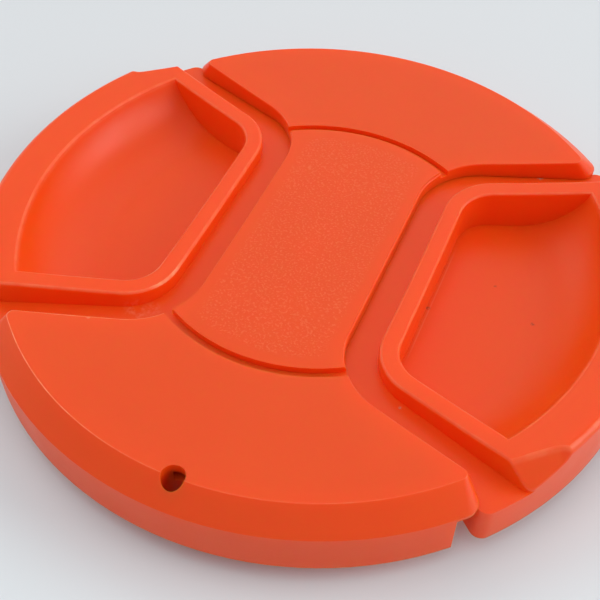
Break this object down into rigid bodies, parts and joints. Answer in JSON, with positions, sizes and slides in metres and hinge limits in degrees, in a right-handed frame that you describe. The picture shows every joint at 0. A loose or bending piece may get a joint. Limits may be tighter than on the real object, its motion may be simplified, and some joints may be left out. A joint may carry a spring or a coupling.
{
  "type": "camera lens cap",
  "caption": "Round clip-in camera lens cap with a bevelled and slightly dished front, finger pockets in spring-loaded centre-pinch sliders, thread claws behind and a tether hole at the edge.",
  "frame": {"origin": "centre of the cap's outline at the rear of its plug, where the cap rests on a table", "axes": "+X along the pinch axis from the left slider to the right slider, +Y from the lobe with the tether hole to the other lobe, +Z out of the front face"},
  "size_m": [0.063, 0.0624, 0.0092],
  "materials": {
    "front_plastic": "satin orange moulded plastic with a finely grained centre badge",
    "slider_plastic": "satin orange moulded plastic",
    "cover_plastic": "satin orange moulded plastic",
    "spring_steel": "drawn spring wire"
  },
  "bodies": {
    "housing": {"front_body": "front_plastic", "rear_cover": "cover_plastic", "left_spring": "spring_steel", "right_spring": "spring_steel"},
    "left_grip": {"left_slider": "slider_plastic"},
    "right_grip": {"right_slider": "slider_plastic"}
  },
  "joints": [
    {"name": "left_pinch", "type": "slide", "parent": "housing", "child": "left_grip", "axis": [1, 0, 0], "range_m": [0, 0.0021], "stiffness_N_per_m": 1200, "springref_m": -0.0002, "deforming": ["left_spring"]},
    {"name": "right_pinch", "type": "slide", "parent": "housing", "child": "right_grip", "axis": [-1, 0, 0], "range_m": [0, 0.0021], "stiffness_N_per_m": 1200, "springref_m": -0.0002, "deforming": ["right_spring"]}
  ]
}
